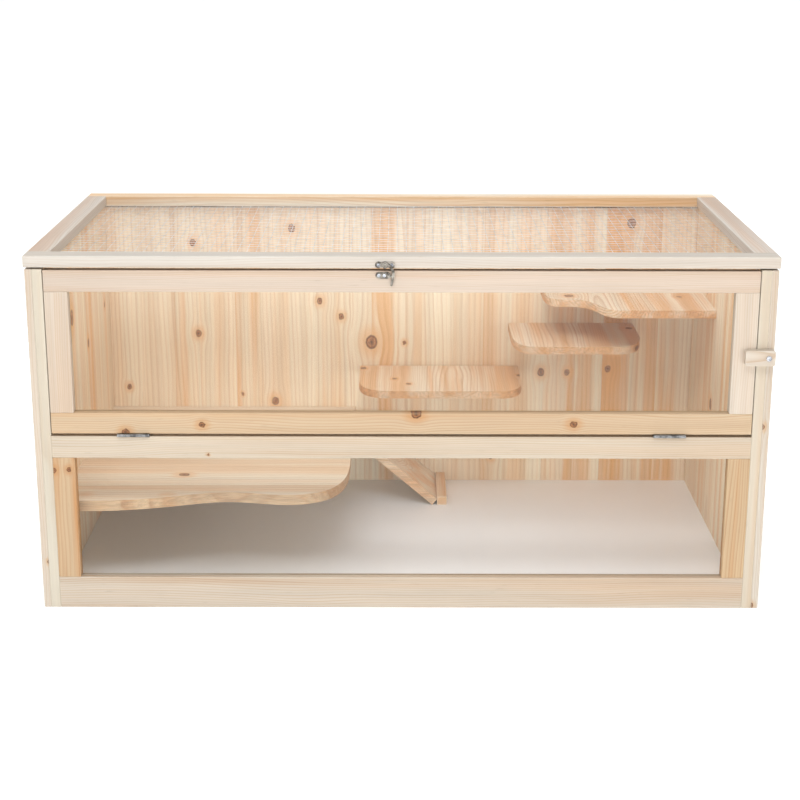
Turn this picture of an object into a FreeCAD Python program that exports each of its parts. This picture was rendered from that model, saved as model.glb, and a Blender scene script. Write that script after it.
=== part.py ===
"""Hamster cage of fir boards: a two-storey cabin behind clear panes, a hinged mesh lid and a drop-down door.

Millimetres. X is the width, -Y the front, +Z up. The origin is the centre of the footprint, on the ground.
"""

import FreeCAD
import Part
import math
import os
import re

Vector = FreeCAD.Vector
Rotation = FreeCAD.Rotation

SIZES = {
    # overall
    "lid_width": 1000,
    "lid_depth": 500,
    "cage_height": 500,
    # lid frame, and the gap under it that holds the mesh
    "lid_thick": 15.6,
    "lid_rail_wide": 30,
    "lid_gap": 2.4,
    # welded mesh under the lid
    "mesh_pitch": 13,
    "wire_diameter": 0.7,
    "mesh_margin": 10,
    # staples that hold the mesh
    "staple_long": 8,
    "staple_wire": 0.5,
    "staple_leg": 6,
    "staple_inset": 2.5,
    "staple_every": 117,
    "staple_clear": 0.3,
    # cabinet sides: a board with strips on its outside
    "side_inset": 1.6,
    "strip_thick": 9.4,
    "strip_wide": 45,
    "side_thick": 13.5,
    # back
    "back_thick": 15,
    "back_drop": 3,
    # fixed front frame
    "front_thick": 15,
    "bottom_rail_wide": 45.3,
    "middle_rail_low": 220,
    "middle_rail_wide": 30.7,
    "lower_stile_wide": 30.2,
    # clear panes and the grooves that hold them
    "pane_thick": 2,
    "pane_setback": 10,
    "pane_bite": 6,
    "groove_deep": 7,
    "groove_clear": 0.1,
    # door
    "door_side_gap": 1,
    "door_top_gap": 1.3,
    "door_rail_wide": 29.2,
    "door_stile_wide": 31.5,
    "door_thick": 15,
    # floor
    "floor_top": 18,
    "floor_thick": 5,
    "batten_wide": 20,
    # wavy platform in the left rear corner
    "platform_top": 146.5,
    "platform_thick": 15,
    "platform_long": 399.5,
    "platform_setback": 30.5,
    "platform_screw_inset": 50,
    # shelves on the back wall
    "shelf_thick": 12,
    "low_top": 217,
    "low_left": -67.5,
    "low_right": 191,
    "low_deep": 149,
    "low_screw_inset": 50,
    "middle_top": 290,
    "middle_left": 174.5,
    "middle_right": 377,
    "middle_deep": 154,
    "middle_screw_inset": 40,
    "high_top": 358,
    "high_left": 224,
    "high_shallow": 123,
    "high_deep": 196,
    "high_corner_across": 24,
    "high_corner_back": 62,
    "high_step_start": 38,
    "high_step_end": 108,
    "high_step_leave": 46,
    "high_step_arrive": 36,
    "high_screw_left": 60,
    "high_screw_right": 50,
    # ramp from the floor to the platform
    "ramp_thick": 12,
    "ramp_wide": 120,
    "ramp_angle": 40.8,
    "ramp_drop": 3.9,
    "stop_wide": 15.3,
    "stop_high": 14,
    # hinges, all four alike
    "hinge_long": 44,
    "hinge_inset": 112,
    "lid_hinge_inset": 150,
    "leaf_wide": 14,
    "leaf_thick": 1,
    "leaf_offset": 2,
    "barrel_radius": 2.3,
    "pin_radius": 1,
    "pin_clear": 0.05,
    "knuckle_clear": 0.3,
    "leaf_clear": 0.4,
    # turn button
    "button_long": 40,
    "button_high": 21,
    "button_thick": 10,
    "button_corner": 3,
    "button_gap": 0.3,
    "button_drop": 117.5,
    "button_pivot_inset": 8.8,
    # swing-hook latch
    "latch_left": 22,
    "latch_rise": 4.5,
    "latch_plate_thick": 1.2,
    "latch_lobe_radius": 4.5,
    "latch_lobe_pitch": 8.7,
    "hook_thick": 1.6,
    "hook_stand_off": 1.4,
    "hook_boss_radius": 4.2,
    "hook_inner_radius": 10.6,
    "hook_outer_radius": 14.2,
    "keeper_long": 20,
    "keeper_high": 9,
    "stud_radius": 1.5,
    "stud_long": 5,
    "rivet_radius": 1.5,
    "rivet_clear": 0.15,
    "rivet_shoulder_radius": 2.55,
    "rivet_head_radius": 2.85,
    "rivet_head_thick": 1,
    "prong_start": 6,
    "prong_long": 6.5,
    "prong_high": 2.6,
    "prong_clear": 0.4,
    "tail_reach": 12.5,
    "tail_wide": 3,
    "tail_long": 12.5,
    "tail_slant": 2.6,
    "tail_sink": 0.5,
    "keeper_beyond_stud": 2.8,
    "keeper_above_stud": 2,
    "keeper_screw_pitch": 7.2,
    # screws
    "wood_screw_radius": 1.8,
    "wood_screw_head": 3.6,
    "frame_screw_long": 45,
    "shelf_screw_long": 35,
    "button_screw_long": 32,
    "button_screw_proud": 1.4,
    "button_screw_clear": 0.1,
    "small_screw_radius": 1.2,
    "small_screw_head": 2.2,
    "small_screw_long": 12,
    "small_screw_proud": 1,
    "small_screw_clear": 0.1,
    "recess_deep": 0.5,
    # broken edges of the boards
    "edge_break": 0.8,
}

KNUCKLES = 5

# A cutter runs past the piece it cuts by this much at each end.
PAST = 1

# The cross recess of a screw head: how wide and how long each slot is, as shares of the head's radius.
RECESS_WIDE = 0.22
RECESS_LONG = 1.1

# The latch plate's bar, and how far the hook's arm turns about its middle, in degrees from the X axis.
BAR_SHARE = 1.5
ARM_TURN = (-12, 84)

# The planes that the pieces share, in the sheet's words.
FRONT = "(0 - lid_depth / 2)"
BACK = "(lid_depth / 2)"
OUTER = "(lid_width / 2 - side_inset)"
BOARD = f"({OUTER} - strip_thick)"
INNER = f"({BOARD} - side_thick)"
TOP = "(cage_height - lid_thick - lid_gap)"
LID_UNDER = "(cage_height - lid_thick)"
WALL = f"({BACK} - back_thick)"
FRAME_BACK = f"({FRONT} + front_thick)"
LEDGE = "(middle_rail_low + middle_rail_wide)"
DOOR_LOW = f"({LEDGE} + 2 * leaf_offset)"
DOOR_HIGH = f"({TOP} - door_top_gap)"
DOOR_SIDE = f"({INNER} - door_side_gap)"
FLOOR_UNDER = "(floor_top - floor_thick)"
PLATFORM_END = f"(platform_long - {INNER})"
BARREL_Y = f"({FRONT} - barrel_radius + 0.1)"
BARREL_Z = f"({LEDGE} + leaf_offset)"
LID_BARREL_Y = f"({BACK} + leaf_offset)"
LID_BARREL_Z = f"({TOP} + lid_gap / 2)"

doc = FreeCAD.newDocument("HamsterCage")
sheet = doc.addObject("Spreadsheet::Sheet", "Sizes")
nodes = []


def fill_sheet():
    """One row for each driving size: its name, its value, and the alias the expressions use."""
    for row, (name, size) in enumerate(SIZES.items(), 1):
        sheet.set(f"A{row}", name)
        sheet.set(f"B{row}", str(size))
        sheet.setAlias(f"B{row}", name)
    doc.recompute()


def sized(text):
    """Turns 'lid_width / 2' into the expression 'Sizes.lid_width / 2'."""
    return re.sub(r"[a-z_]+", lambda found: "Sizes." + found[0] if found[0] in SIZES else found[0], str(text))


def number(text):
    """The present value of an expression in the sheet's words."""
    return float(sheet.evalExpression(sized(text)))


def bind(thing, **expressions):
    """Binds properties to the sheet; x, y and z stand for the placement's position."""
    for name, text in expressions.items():
        path = f"Placement.Base.{name}" if name in "xyz" else name
        thing.setExpression(path, sized(text))
    return thing


def keep(thing, label):
    """Marks an object as a sub-part that is written under its label."""
    thing.Label = label
    nodes.append(thing)
    return thing


def span(low, high):
    return f"({high}) - ({low})"


def at(x, y, z):
    return Vector(number(x), number(y), number(z))


def primitive(kind, label, **expressions):
    return bind(doc.addObject(kind, label), **expressions)


def box(label, x, y, z):
    """A Part box between the low and high expression of each axis."""
    sizes = dict(Length=span(*x), Width=span(*y), Height=span(*z))
    return primitive("Part::Box", label, **sizes, x=x[0], y=y[0], z=z[0])


def rod(label, radius, length, x, y, z, rotation):
    """A Part cylinder that starts at a point and runs along the rotated Z axis."""
    piece = primitive("Part::Cylinder", label, Radius=radius, Height=length)
    piece.Placement.Rotation = rotation
    return bind(piece, x=x, y=y, z=z)


ALONG_X = Rotation(Vector(0, 1, 0), 90)
ALONG_Y = Rotation(Vector(1, 0, 0), -90)
ALONG_Z = Rotation()


# ---- boards ----

def board(label, x, y, z, broken=True, groove=None):
    """A sawn board with broken edges, and a groove for a pane if it has one.

    groove is the pair of low and high expressions of the groove on each axis, in the cage's frame.
    """
    body = doc.addObject("PartDesign::Body", label)
    block = body.newObject("PartDesign::AdditiveBox", label + "_block")
    bind(block, Length=span(*x), Width=span(*y), Height=span(*z))
    bind(body, x=x[0], y=y[0], z=z[0])
    if broken:
        edges = body.newObject("PartDesign::Chamfer", label + "_edges")
        edges.Base = (block, [""])
        edges.UseAllEdges = True
        bind(edges, Size="edge_break")
    if groove:
        slot = body.newObject("PartDesign::SubtractiveBox", label + "_groove")
        lengths = dict(zip(("Length", "Width", "Height"), (span(*pair) for pair in groove)))
        starts = {axis: span(own[0], pair[0]) for axis, own, pair in zip("xyz", (x, y, z), groove)}
        bind(slot, **lengths, **starts)
    return keep(body, label)


def mirrored(sign, low, high):
    """An X span on the right side (sign 1), or the same span on the left."""
    return (low, high) if sign > 0 else (f"0 - ({high})", f"0 - ({low})")


SIDES = (("left", -1), ("right", 1))


def sides():
    for side, sign in SIDES:
        strip = mirrored(sign, BOARD, OUTER)
        board(f"{side}_side_panel", mirrored(sign, INNER, BOARD), (FRONT, BACK), ("0", TOP))
        board(f"{side}_front_post", strip, (FRONT, f"{FRONT} + strip_wide"), ("0", TOP))
        board(f"{side}_rear_post", strip, (f"{BACK} - strip_wide", BACK), ("0", TOP))
        between = (f"{FRONT} + strip_wide", f"{BACK} - strip_wide")
        board(f"{side}_bottom_strip", strip, between, ("0", "strip_wide"))
        board(f"{side}_top_strip", strip, between, (f"{TOP} - strip_wide", TOP))


def pane_planes():
    """The low and high Y of a pane, and of the groove round it."""
    front = f"{FRONT} + pane_setback"
    pane = (front, f"{front} + pane_thick")
    groove = (f"{front} - groove_clear", f"{front} + pane_thick + groove_clear")
    return pane, groove


def framed_pane(name, labels, side, low, high, rail_low, rail_high, stile, thick):
    """A pane in two full-width rails and the two stiles between them, all grooved on their inner edges.

    labels are those of the bottom rail, top rail, left stile and right stile.
    """
    pane, groove_y = pane_planes()
    bottom_rail, top_rail, *stiles = labels
    left = f"(0 - {side})"
    y = (FRONT, f"{FRONT} + {thick}")
    sight_low = f"({low} + {rail_low})"
    sight_high = f"({high} - {rail_high})"
    sight_side = f"({side} - {stile})"
    across = (f"0 - {sight_side} - groove_deep", f"{sight_side} + groove_deep")
    board(bottom_rail, (left, side), y, (low, sight_low),
          groove=(across, groove_y, (f"{sight_low} - groove_deep", f"{sight_low} + groove_deep")))
    board(top_rail, (left, side), y, (sight_high, high),
          groove=(across, groove_y, (f"{sight_high} - groove_deep", f"{sight_high} + groove_deep")))
    up = (f"{sight_low} - groove_deep", f"{sight_high} + groove_deep")
    for label, sign in zip(stiles, (-1, 1)):
        slot = mirrored(sign, f"{sight_side} - groove_deep", f"{sight_side} + groove_deep")
        board(label, mirrored(sign, sight_side, side), y, (sight_low, sight_high),
              groove=(slot, groove_y, up))
    board(name, (f"0 - {sight_side} - pane_bite", f"{sight_side} + pane_bite"), pane,
          (f"{sight_low} - pane_bite", f"{sight_high} + pane_bite"), broken=False)


def cabinet():
    sides()
    inside = (f"0 - {INNER}", INNER)
    board("back_panel", inside, (WALL, BACK), ("0", f"{TOP} - back_drop"))
    labels = ("front_bottom_rail", "front_middle_rail", "lower_left_stile", "lower_right_stile")
    framed_pane("lower_window", labels, INNER, "0", LEDGE, "bottom_rail_wide", "middle_rail_wide",
                "lower_stile_wide", "front_thick")
    board("floor_board", inside, (FRAME_BACK, WALL), (FLOOR_UNDER, "floor_top"), broken=False)
    for side, sign in SIDES:
        board(f"floor_batten_{side}", mirrored(sign, f"{INNER} - batten_wide", INNER), (FRAME_BACK, WALL),
              ("0", FLOOR_UNDER), broken=False)
    middle = (f"batten_wide - {INNER}", f"{INNER} - batten_wide")
    for end, y in (("front", (FRAME_BACK, f"{FRAME_BACK} + batten_wide")),
                   ("rear", (f"{WALL} - batten_wide", WALL))):
        board(f"floor_batten_{end}", middle, y, ("0", FLOOR_UNDER), broken=False)


def door():
    labels = ("door_bottom_rail", "door_top_rail", "door_left_stile", "door_right_stile")
    framed_pane("door_window", labels, DOOR_SIDE, DOOR_LOW, DOOR_HIGH, "door_rail_wide", "door_rail_wide",
                "door_stile_wide", "door_thick")


def lid_frame():
    z = (LID_UNDER, "cage_height")
    full = ("0 - lid_width / 2", "lid_width / 2")
    board("lid_front_rail", full, (FRONT, f"{FRONT} + lid_rail_wide"), z)
    board("lid_rear_rail", full, (f"{BACK} - lid_rail_wide", BACK), z)
    for side, sign in SIDES:
        board(f"lid_{side}_rail", mirrored(sign, "lid_width / 2 - lid_rail_wide", "lid_width / 2"),
              (f"{FRONT} + lid_rail_wide", f"{BACK} - lid_rail_wide"), z)


# ---- pieces cut to an outline ----

def solid_feature(label, shape):
    """A sub-part whose shape is made by a function, placed after its shape is set."""
    piece = doc.addObject("Part::Feature", label)
    piece.Shape = shape
    piece.Placement = FreeCAD.Placement()
    return keep(piece, label)


def slab(edges, lift, thick):
    """Extrudes a closed flat outline upwards."""
    face = Part.Face(Part.Wire(edges))
    face.translate(Vector(0, 0, lift))
    return face.extrude(Vector(0, 0, thick))


def polyline(points):
    return [Part.LineSegment(Vector(*a, 0), Vector(*b, 0)).toShape() for a, b in zip(points, points[1:])]


def bezier(*points):
    curve = Part.BezierCurve()
    curve.setPoles([Vector(*point, 0) for point in points])
    return curve.toShape()


# The platform's front edge, and then its corner as the poles of one Bezier curve: how far each point lies
# along the platform's length, and how far behind its foremost point.
WAVE = ((0.0, 0.0), (0.151, 0.3), (0.38, 18), (0.587, 36.6), (0.795, 25), (0.905, 39.2))
CORNER = ((0.905, 39.2), (0.965, 54), (1.0, 91.5), (1.0, 160))


def platform():
    long, setback = number("platform_long"), number(f"{FRONT} + platform_setback")
    left, right, wall = number(f"0 - {INNER}"), number(PLATFORM_END), number(WALL)
    wave, corner = [[(left + long * share, setback + back) for share, back in points]
                    for points in (WAVE, CORNER)]
    edge = Part.BSplineCurve()
    leaving = Vector(*corner[1], 0) - Vector(*corner[0], 0)
    edge.interpolate([Vector(*point, 0) for point in wave], InitialTangent=Vector(1, 0, 0),
                     FinalTangent=leaving.normalize())
    rest = polyline([(right, corner[-1][1]), (right, wall), (left, wall), (left, setback)])
    outline = [edge.toShape(), bezier(*corner), *rest]
    thick = number("platform_thick")
    solid_feature("platform", slab(outline, number("platform_top") - thick, thick))


# The reach of each rounded shelf corner along the front and along the side: left corner, right corner.
SHELF_CORNERS = {"low": ((48, 66), (36, 58)), "middle": ((34, 78), (44, 78))}


def shelf(name, left_corner, right_corner):
    """A shelf with rounded front corners."""
    wall = number(WALL)
    left, right, front = number(f"{name}_left"), number(f"{name}_right"), number(f"{WALL} - {name}_deep")
    (lx, ly), (rx, ry) = left_corner, right_corner
    outline = [
        *polyline([(left + lx, front), (right - rx, front)]),
        bezier((right - rx, front), (right, front), (right, front + ry)),
        *polyline([(right, front + ry), (right, wall), (left, wall), (left, front + ly)]),
        bezier((left, front + ly), (left, front), (left + lx, front)),
    ]
    solid_feature(f"shelf_{name}", slab(outline, number(f"{name}_top - shelf_thick"), number("shelf_thick")))


def high_shelf():
    """The top shelf runs to the right-hand wall; its front steps forward in an S."""
    left, right, wall = number("high_left"), number(INNER), number(WALL)
    shallow, deep = number(f"{WALL} - high_shallow"), number(f"{WALL} - high_deep")
    corner_x, corner_y = left + number("high_corner_across"), shallow + number("high_corner_back")
    start, end = left + number("high_step_start"), left + number("high_step_end")
    leave, arrive = start + number("high_step_leave"), end - number("high_step_arrive")
    outline = [
        bezier((left, corner_y), (left, shallow), (corner_x, shallow)),
        *polyline([(corner_x, shallow), (start, shallow)]),
        bezier((start, shallow), (leave, shallow), (arrive, deep), (end, deep)),
        *polyline([(end, deep), (right, deep), (right, wall), (left, wall), (left, corner_y)]),
    ]
    solid_feature("shelf_high", slab(outline, number("high_top - shelf_thick"), number("shelf_thick")))


def shelves():
    for name, corners in SHELF_CORNERS.items():
        shelf(name, *corners)
    high_shelf()


def ramp():
    """A plank with a square-cut foot against a stop, and a plumb-cut top on the platform's edge."""
    slope = math.radians(number("ramp_angle"))
    thick, wide, floor = number("ramp_thick"), number("ramp_wide"), number("floor_top")
    edge, wall = number(PLATFORM_END), number(WALL)
    high = number("platform_top - ramp_drop")
    low = high - thick / math.cos(slope)
    foot = edge + (low - floor) / math.tan(slope)
    heel = foot + thick * math.sin(slope)
    corners = [(foot, floor), (heel, floor + thick * math.cos(slope)), (edge, high), (edge, low)]
    face = Part.Face(Part.makePolygon([Vector(x, wall - wide, z) for x, z in [*corners, corners[0]]]))
    solid_feature("ramp", face.extrude(Vector(0, wide, 0)))
    stop = Part.makeBox(number("stop_wide"), wide, number("stop_high"), Vector(heel, wall - wide, floor))
    solid_feature("ramp_stop", stop)


# ---- welded mesh and its staples ----

def wire_places(half):
    """The centres of the wires on one axis, evenly pitched about the middle."""
    pitch = number("mesh_pitch")
    steps = math.floor(2 * half / pitch)
    return [(step - steps / 2) * pitch for step in range(steps + 1)]


def lid_mesh():
    radius = number("wire_diameter / 2")
    under = number(LID_UNDER)
    columns = wire_places(number("lid_width / 2 - mesh_margin"))
    rows = wire_places(number("lid_depth / 2 - mesh_margin"))
    half_x, half_y = columns[-1] + 2 * radius, rows[-1] + 2 * radius
    along_x, along_y = Vector(1, 0, 0), Vector(0, 1, 0)
    wires = [Part.makeCylinder(radius, 2 * half_x, Vector(-half_x, y, under - radius), along_x) for y in rows]
    wires += [Part.makeCylinder(radius, 2 * half_y, Vector(x, -half_y, under - 3 * radius), along_y)
              for x in columns]
    solid_feature("lid_mesh", Part.makeCompound(wires))


def clear_of_wires(place, wires):
    """A staple's place on the rail, moved outwards past any wire that runs where its legs would go."""
    gap = number("wire_diameter / 2 + staple_wire / 2 + staple_clear")
    for wire in wires:
        if abs(place - wire) < gap:
            return wire + gap
    return place


def staple(place, across_x):
    """A U staple whose crown passes under the wires, with both legs driven up into the rail."""
    long, wire, leg = number("staple_long"), number("staple_wire"), number("staple_leg")
    drop = 2 * number("wire_diameter") + wire
    crown = Part.makeBox(long, wire, wire, Vector(-long / 2, -wire / 2, -drop))
    legs = [Part.makeBox(wire, wire, drop + leg, Vector(x, -wire / 2, -drop))
            for x in (-long / 2, long / 2 - wire)]
    shape = crown.fuse(legs).removeSplitter()
    if not across_x:
        shape.rotate(Vector(), Vector(0, 0, 1), 90)
    shape.translate(place)
    return shape


def mesh_staples():
    under, pitch = number(LID_UNDER), number("mesh_pitch")
    every = max(1, round(number("staple_every") / pitch))
    columns = wire_places(number("lid_width / 2 - mesh_margin"))
    rows = wire_places(number("lid_depth / 2 - mesh_margin"))
    x = clear_of_wires(number("lid_width / 2 - lid_rail_wide + staple_inset"), columns)
    y = clear_of_wires(number("lid_depth / 2 - lid_rail_wide + staple_inset"), rows)
    inner_columns = [place for place in columns if abs(place) < x - pitch][::every]
    inner_rows = [place for place in rows if abs(place) < y - pitch][::every]
    staples = [staple(Vector(place, side * y, under), True) for side in (-1, 1) for place in inner_columns]
    staples += [staple(Vector(side * x, place, under), False) for side in (-1, 1) for place in inner_rows]
    solid_feature("mesh_staples", Part.makeCompound(staples))


# ---- screws ----

def screw(place, into, radius, head, long, proud=0.0):
    """A cross-head screw driven from a point along 'into', with its head flush or standing proud."""
    depth = head - radius
    cone = Part.makeCone(head, radius, depth, Vector(), Vector(0, 0, -1))
    shank = Part.makeCylinder(radius, long, Vector(0, 0, -long))
    shape = cone.fuse(shank)
    recess_top = proud
    if proud:
        shape = Part.makeCylinder(head, proud).fuse(shank)
    slot, reach, deep = head * RECESS_WIDE, head * RECESS_LONG, min(number("recess_deep"), depth)
    for size_x, size_y in ((reach, slot), (slot, reach)):
        cutter = Part.makeBox(size_x, size_y, 2 * deep, Vector(-size_x / 2, -size_y / 2, recess_top - deep))
        shape = shape.cut(cutter)
    shape = shape.removeSplitter()
    shape.Placement = FreeCAD.Placement(place, Rotation(Vector(0, 0, -1), into))
    return shape


def screw_node(label, places, into, size, long, proud="0"):
    """Screws of one size: into gives each one's direction; long and proud are in the sheet's words."""
    radius, head = number(f"{size}_screw_radius"), number(f"{size}_screw_head")
    solids = [screw(place, direction, radius, head, number(long), number(proud))
              for place, direction in zip(places, into)]
    solid_feature(label, Part.makeCompound(solids))


def frame_screws():
    """Screws through the corner strips and side boards into the front rails and the back panel."""
    front, rear = number(f"{FRONT} + front_thick / 2"), number(f"{BACK} - back_thick / 2")
    heights = [number("bottom_rail_wide / 2"), number("middle_rail_low + middle_rail_wide / 2")]
    rear_heights = [number("strip_wide"), number(f"{TOP} / 2"), number(f"{TOP} - strip_wide")]
    spots = [(front, z) for z in heights] + [(rear, z) for z in rear_heights]
    places, into = [], []
    for _, sign in SIDES:
        for y, z in spots:
            places.append(Vector(sign * number(OUTER), y, z))
            into.append(Vector(-sign, 0, 0))
    screw_node("frame_screws", places, into, "wood", "frame_screw_long")


def shelf_screws():
    """Two screws through the back panel into each shelf, and three into the platform."""
    rows = {
        "low_top - shelf_thick / 2": ("low_left + low_screw_inset", "low_right - low_screw_inset"),
        "middle_top - shelf_thick / 2": ("middle_left + middle_screw_inset",
                                         "middle_right - middle_screw_inset"),
        "high_top - shelf_thick / 2": ("high_left + high_screw_left", f"{INNER} - high_screw_right"),
        "platform_top - platform_thick / 2": (f"platform_screw_inset - {INNER}",
                                              f"({PLATFORM_END} - {INNER}) / 2",
                                              f"{PLATFORM_END} - platform_screw_inset"),
    }
    places = [at(x, BACK, height) for height, xs in rows.items() for x in xs]
    screw_node("shelf_screws", places, [Vector(0, -1, 0)] * len(places), "wood", "shelf_screw_long")


# ---- hinges ----

def knuckle_span(index):
    """The X span of one knuckle about the hinge's middle."""
    share = f"hinge_long / {KNUCKLES}"
    return (f"{index} * {share} - hinge_long / 2 + knuckle_clear / 2",
            f"{index + 1} * {share} - hinge_long / 2 - knuckle_clear / 2")


def hinge_leaf(label, indices, x, y, z, rotation):
    """One leaf: a plate beside the pin's axis, with every other knuckle rolled round the pin.

    It is made with the pin on the X axis and the plate along +Y, and then turned into place.
    """
    plate_z = ("0 - leaf_offset", "leaf_thick - leaf_offset")
    solids = [box(label + "_plate", ("0 - hinge_long / 2", "hinge_long / 2"),
                  ("barrel_radius + leaf_clear", "barrel_radius + leaf_wide"), plate_z)]
    for index in indices:
        low, high = knuckle_span(index)
        solids.append(box(f"{label}_tab_{index}", (low, high), ("0", "barrel_radius + leaf_clear"), plate_z))
        solids.append(rod(f"{label}_knuckle_{index}", "barrel_radius", span(low, high), low, "0", "0",
                          ALONG_X))
    leaf = doc.addObject("Part::MultiFuse", label + "_blank")
    leaf.Shapes = solids
    holes = [rod(label + "_bore", "pin_radius + pin_clear", f"hinge_long + 2 * {PAST}",
                 f"0 - hinge_long / 2 - {PAST}", "0", "0", ALONG_X)]
    for side, sign in SIDES:
        holes.append(rod(f"{label}_screw_hole_{side}", "small_screw_head", f"leaf_thick + 2 * {PAST}",
                         f"{sign} * hinge_long / 4", "barrel_radius + leaf_wide / 2",
                         f"0 - leaf_offset - {PAST}", ALONG_Z))
    drill = doc.addObject("Part::MultiFuse", label + "_drill")
    drill.Shapes = holes
    cut = doc.addObject("Part::Cut", label + "_cut")
    cut.Base = leaf
    cut.Tool = drill
    cut.Placement.Rotation = rotation
    keep(bind(cut, x=x, y=y, z=z), label)


DOOR_FIXED_TURN = Rotation()
DOOR_LEAF_TURN = Rotation(Vector(0, 1, 0), 180)
LID_FIXED_TURN = Rotation(Vector(1, 0, 0), -90)
LID_LEAF_TURN = Rotation(Vector(0, 0, 1), 180).multiply(Rotation(Vector(1, 0, 0), 90))
FIXED_KNUCKLES = range(0, KNUCKLES, 2)
MOVING_KNUCKLES = range(1, KNUCKLES, 2)


def hinges():
    pins = []
    rows = (("door", "hinge_inset", BARREL_Y, BARREL_Z, DOOR_FIXED_TURN, DOOR_LEAF_TURN),
            ("lid", "lid_hinge_inset", LID_BARREL_Y, LID_BARREL_Z, LID_FIXED_TURN, LID_LEAF_TURN))
    for side, sign in SIDES:
        for row, inset, y, z, fixed_turn, leaf_turn in rows:
            x = f"{sign} * ({INNER} - {inset})"
            hinge_leaf(f"{row}_hinge_{side}_fixed_leaf", FIXED_KNUCKLES, x, y, z, fixed_turn)
            hinge_leaf(f"{row}_hinge_{side}_leaf", MOVING_KNUCKLES, x, y, z, leaf_turn)
            pins.append(rod(f"{row}_pin_{side}", "pin_radius", "hinge_long", f"{x} - hinge_long / 2", y, z,
                            ALONG_X))
    group = doc.addObject("Part::Compound", "hinge_pins_group")
    group.Links = pins
    keep(group, "hinge_pins")


def hinge_screws():
    """Two flush screws in each leaf."""
    reach, face = number("barrel_radius + leaf_wide / 2"), number("leaf_offset - leaf_thick")
    door_y, door_z = number(BARREL_Y) + reach, number(BARREL_Z)
    lid_y, lid_z = number(LID_BARREL_Y) - face, number(LID_BARREL_Z)
    shifts = [turn * number("hinge_long / 4") for turn in (-1, 1)]
    door_xs, lid_xs = [[sign * number(f"{INNER} - {inset}") + shift for _, sign in SIDES for shift in shifts]
                       for inset in ("hinge_inset", "lid_hinge_inset")]
    down, up, inward = [[way] * len(door_xs) for way in (Vector(0, 0, -1), Vector(0, 0, 1), Vector(0, -1, 0))]
    door_fixed, door_moving = [[Vector(x, door_y, door_z + lift) for x in door_xs] for lift in (-face, face)]
    lid_fixed, lid_moving = [[Vector(x, lid_y, lid_z + lift) for x in lid_xs] for lift in (-reach, reach)]
    screw_node("hinge_fixed_screws", door_fixed + lid_fixed, down + inward, "small", "small_screw_long")
    screw_node("door_hinge_screws", door_moving, up, "small", "small_screw_long")
    screw_node("lid_hinge_screws", lid_moving, inward, "small", "small_screw_long")


# ---- turn button ----

def turn_button():
    """A wooden button that lies across the door's edge, with a bore for its screw."""
    left, right = f"({OUTER} - button_long)", OUTER
    middle = f"({TOP} - button_drop)"
    face = f"({FRONT} - button_gap)"
    x, z = f"({OUTER} - button_pivot_inset)", middle
    body = doc.addObject("PartDesign::Body", "turn_button_body")
    block = body.newObject("PartDesign::AdditiveBox", "turn_button_block")
    bind(block, Length=span(left, right), Width="button_thick", Height="button_high")
    bind(body, x=left, y=f"{face} - button_thick", z=f"{middle} - button_high / 2")
    doc.recompute()
    corners = body.newObject("PartDesign::Fillet", "turn_button_corners")
    along_y = [f"Edge{index}" for index, edge in enumerate(block.Shape.Edges, 1)
               if abs(edge.tangentAt(edge.FirstParameter).y) > 0.5]
    corners.Base = (block, along_y)
    bind(corners, Radius="button_corner")
    bore = body.newObject("PartDesign::SubtractiveCylinder", "turn_button_bore")
    bore.Placement.Rotation = ALONG_Y
    bind(bore, Radius="wood_screw_radius + pin_clear", Height=f"button_thick + 2 * {PAST}",
         x=f"{x} - {left}", y=f"0 - {PAST}", z="button_high / 2")
    keep(body, "turn_button")
    place = at(x, f"{face} - button_thick - button_screw_clear", z)
    screw_node("turn_button_screw", [place], [Vector(0, 1, 0)], "wood", "button_screw_long",
               "button_screw_proud")


# ---- swing-hook latch ----

def disc(radius, x, z, y, thick):
    """A disc in the XZ plane whose front face is at y."""
    return Part.makeCylinder(radius, thick, Vector(x, y, z), Vector(0, 1, 0))


def through(radius, x, z, y, thick):
    """The cutter of a hole through a plate whose front face is at y."""
    return disc(radius, x, z, y - PAST, thick + 2 * PAST)


def latch_pivot():
    return -number("latch_left"), number(f"{LID_UNDER} + latch_rise")


# The stud, and the middle of the hook's arm, from the hook's pivot: to the right, and down.
STUD_OFFSET = (4.5, 11.6)
ARM_OFFSET = (-1.3, 11.3)


def latch_plate():
    x, z = latch_pivot()
    thick, radius = number("latch_plate_thick"), number("latch_lobe_radius")
    pitch, hole = number("latch_lobe_pitch"), number("small_screw_radius + small_screw_clear")
    front = number(FRONT) - thick
    lobes = [disc(radius, x + step * pitch, z, front, thick) for step in (-1, 0, 1)]
    bar_high = BAR_SHARE * radius
    bar = Part.makeBox(2 * pitch, thick, bar_high, Vector(x - pitch, front, z - bar_high / 2))
    screws = [x - pitch, x + pitch]
    holes = [through(hole, place, z, front, thick) for place in screws]
    holes.append(through(number("rivet_radius"), x, z, front, thick))
    solid_feature("latch_plate", bar.fuse(lobes).removeSplitter().cut(holes))
    places = [Vector(place, front, z) for place in screws]
    screw_node("latch_plate_screws", places, [Vector(0, 1, 0)] * len(places), "small", "small_screw_long",
               "small_screw_proud")


def latch_rivet():
    """The hook's pivot: a shaft with a shoulder behind the hook and a head in front of it."""
    x, z = latch_pivot()
    front = number(FRONT)
    plate, stand, hook = number("latch_plate_thick"), number("hook_stand_off"), number("hook_thick")
    radius, clear, head_thick = number("rivet_radius"), number("rivet_clear"), number("rivet_head_thick")
    shoulder_front = front - plate - stand + clear
    head_back = front - plate - stand - hook - clear
    shaft = disc(radius, x, z, head_back, front - head_back)
    shoulder = disc(number("rivet_shoulder_radius"), x, z, shoulder_front, front - plate - shoulder_front)
    head = disc(number("rivet_head_radius"), x, z, head_back - head_thick, head_thick)
    solid_feature("latch_rivet", shaft.fuse([shoulder, head]).removeSplitter())


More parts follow.
